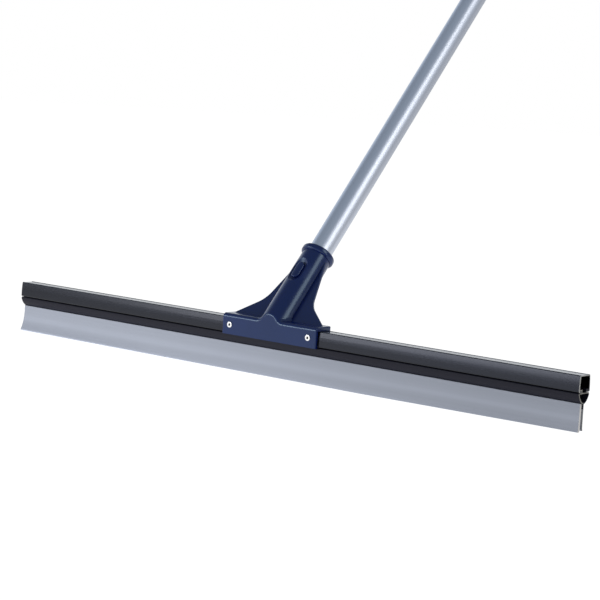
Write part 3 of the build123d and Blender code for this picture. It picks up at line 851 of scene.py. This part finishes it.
def studio_world(stage):
    """White behind the squeegee; for its light, bright at the horizon and dim above."""
    wall_span, backdrop_span = (-1.3, 0.6), (0.72, 0.95)
    ceiling_span, rise_span = (-0.7, 0), (0.25, 0.75)
    soft_span, tint_span = (0.05, 0.5), (0.0, 0.5)
    ceiling_tint = (0.86, 0.98, 1.12)
    world = bpy.data.worlds.new("studio")
    world.use_nodes = True
    tree = world.node_tree
    direction = add_node(tree, "TexCoord").outputs["Generated"]
    across, _, up = add_node(tree, "SeparateXYZ", {"Vector": direction}).outputs
    behind = add_node(tree, "VectorMath", {0: direction, 1: BACKDROP_DIRECTION}, operation="DOT_PRODUCT")
    sides = spread_over(tree, across, *wall_span, stage.left_wall, stage.right_wall)
    walls = spread_over(tree, behind.outputs["Value"], *backdrop_span, sides, stage.backdrop)
    ceiling = spread_over(tree, across, *ceiling_span, stage.ceiling_left, stage.ceiling)
    mirrored = spread_over(tree, up, *rise_span, walls, ceiling)
    soft = spread_over(tree, up, *soft_span, stage.horizon, stage.zenith)
    path = add_node(tree, "LightPath").outputs
    lights = spread_over(tree, path["Is Diffuse Ray"], 0, 1, mirrored, soft)
    seen = maths(tree, "MAXIMUM", path["Is Camera Ray"], path["Is Transmission Ray"])
    tint = mixed(tree, spread_over(tree, up, *tint_span), WHITE, ceiling_tint)
    background = tree.nodes["Background"].inputs
    tree.links.new(maths(tree, "MAXIMUM", lights, seen), background["Strength"])
    tree.links.new(mixed(tree, seen, tint, WHITE), background["Color"])
    return world


def floor_finish(stage, colours):
    """Pale and matt; it looks white and still takes the squeegee's shadow."""
    across_span, away_span = (-0.25, 0.3), (0.5, 1.4)
    material = bpy.data.materials.new("studio_floor")
    material.use_nodes = True
    tree = material.node_tree
    tree.nodes.remove(tree.nodes["Principled BSDF"])
    here = add_node(tree, "TexCoord").outputs["Object"]
    across = add_node(tree, "SeparateXYZ", {"Vector": here}).outputs["X"]
    away = add_node(tree, "VectorMath", {0: here}, operation="LENGTH").outputs["Value"]
    path = add_node(tree, "LightPath").outputs
    bounced = maths(tree, "MAXIMUM", path["Is Glossy Ray"], path["Is Transmission Ray"])
    seen = maths(tree, "MAXIMUM", path["Is Camera Ray"], bounced)
    lights = spread_over(tree, across, *across_span, stage.glow_left, stage.glow_right)
    mirrored = spread_over(tree, away, *away_span, stage.near_floor, stage.far_floor)
    white = spread_over(tree, path["Is Glossy Ray"], 0, 1, stage.near_floor, mirrored)
    strength = spread_over(tree, seen, 0, 1, lights, white)
    matt = add_node(tree, "BsdfDiffuse", {"Color": (*colours.floor, 1)})
    glow = add_node(tree, "Emission", {"Color": (*WHITE, 1), "Strength": strength})
    both = add_node(tree, "MixShader", {0: stage.floor_glow, 1: matt.outputs[0], 2: glow.outputs[0]})
    tree.links.new(both.outputs[0], tree.nodes["Material Output"].inputs["Surface"])
    return material


def studio_floor(stage, colours):
    """A wide round floor just below the lips."""
    bm = bmesh.new()
    bmesh.ops.create_circle(bm, cap_ends=True, segments=stage.floor_sides, radius=stage.floor_radius)
    bmesh.ops.translate(bm, verts=bm.verts[:], vec=Z_AXIS * -stage.floor_drop)
    floor = new_piece("studio_floor", bm, floor_finish(stage, colours))


def softbox(name, energy, tint, at, aim, size):
    """An area lamp that faces a point and isn't seen itself."""
    lamp = bpy.data.lights.new(name, "AREA")
    lamp.shape = "RECTANGLE"
    lamp.size, lamp.size_y = size
    lamp.energy = energy
    lamp.color = tint
    box = bpy.data.objects.new(name, lamp)
    box.location = at
    box.rotation_euler = (Vector(aim) - Vector(at)).to_track_quat("-Z", "Y").to_euler()
    box.visible_camera = False
    bpy.context.scene.collection.objects.link(box)


def studio_lamps(stage):
    """A low softbox in front and a tall one on the right."""
    softbox(
        "front_softbox",
        stage.front_power,
        stage.front_tint,
        stage.front_place,
        stage.front_aim,
        stage.front_size,
    )
    softbox(
        "side_softbox",
        stage.side_power,
        stage.side_tint,
        stage.side_place,
        stage.side_aim,
        stage.side_size,
    )


def studio_camera(stage):
    """A camera to the right of the head's front, close to the floor."""
    side = Vector((cos(stage.turn), sin(stage.turn), 0))
    level_back = Vector((sin(stage.turn), -cos(stage.turn), 0))
    back = level_back * cos(stage.height) + Z_AXIS * sin(stage.height)
    upright = back.cross(side)
    right = side * cos(stage.roll) + upright * sin(stage.roll)
    top = upright * cos(stage.roll) - side * sin(stage.roll)
    camera = bpy.data.objects.new("studio_camera", bpy.data.cameras.new("studio_camera"))
    camera.data.sensor_width = stage.sensor
    camera.data.lens = stage.lens
    at = Vector(stage.aim) + back * stage.distance
    camera.matrix_world = Matrix.Translation(at) @ Matrix((right, top, back)).transposed().to_4x4()
    bpy.context.scene.collection.objects.link(camera)
    bpy.context.scene.camera = camera


class SQUEEGEE_OT_stage(Operator):
    """Build the studio: floor, backdrop, soft lamps and camera"""

    bl_idname = "squeegee.stage"
    bl_label = "Build stage"

    def execute(self, context):
        stage = context.scene.squeegee_stage
        context.scene.view_settings.view_transform = "Standard"
        context.scene.world = studio_world(stage)
        studio_floor(stage, context.scene.squeegee_colours)
        studio_lamps(stage)
        studio_camera(stage)
        return {"FINISHED"}


class SQUEEGEE_PT_sidebar(Panel):
    """Lists the squeegee's pieces and their settings"""

    bl_idname = "SQUEEGEE_PT_sidebar"
    bl_label = "Floor squeegee"
    bl_space_type = "VIEW_3D"
    bl_region_type = "UI"
    bl_category = "Squeegee"

    def draw(self, context):
        for operator in OPERATORS:
            self.layout.operator(operator.bl_idname)
        for name, group in SETTINGS.items():
            box = self.layout.box()
            for setting in group.__annotations__:
                box.prop(getattr(context.scene, name), setting)


OPERATORS = (
    SQUEEGEE_OT_rail,
    SQUEEGEE_OT_cassette,
    SQUEEGEE_OT_lips,
    SQUEEGEE_OT_mouldings,
    SQUEEGEE_OT_rivets,
    SQUEEGEE_OT_handle,
    SQUEEGEE_OT_spring,
    SQUEEGEE_OT_grip,
    SQUEEGEE_OT_stage,
)
SETTINGS = {
    "squeegee_rubber": SQUEEGEE_PG_rubber,
    "squeegee_spring": SQUEEGEE_PG_spring,
    "squeegee_colours": SQUEEGEE_PG_colours,
    "squeegee_stage": SQUEEGEE_PG_stage,
}


def register():
    for one in (*SETTINGS.values(), *OPERATORS, SQUEEGEE_PT_sidebar):
        bpy.utils.register_class(one)
    for name, group in SETTINGS.items():
        setattr(bpy.types.Scene, name, PointerProperty(type=group))


def unregister():
    for name in SETTINGS:
        delattr(bpy.types.Scene, name)
    for one in (SQUEEGEE_PT_sidebar, *reversed(OPERATORS), *reversed(SETTINGS.values())):
        bpy.utils.unregister_class(one)


def main():
    register()
    bpy.ops.squeegee.rail()
    bpy.ops.squeegee.cassette()
    bpy.ops.squeegee.lips()
    bpy.ops.squeegee.mouldings()
    bpy.ops.squeegee.rivets()
    bpy.ops.squeegee.handle()
    bpy.ops.squeegee.spring()
    bpy.ops.squeegee.grip()
    bpy.ops.squeegee.stage()


if __name__ == "__main__":
    main()
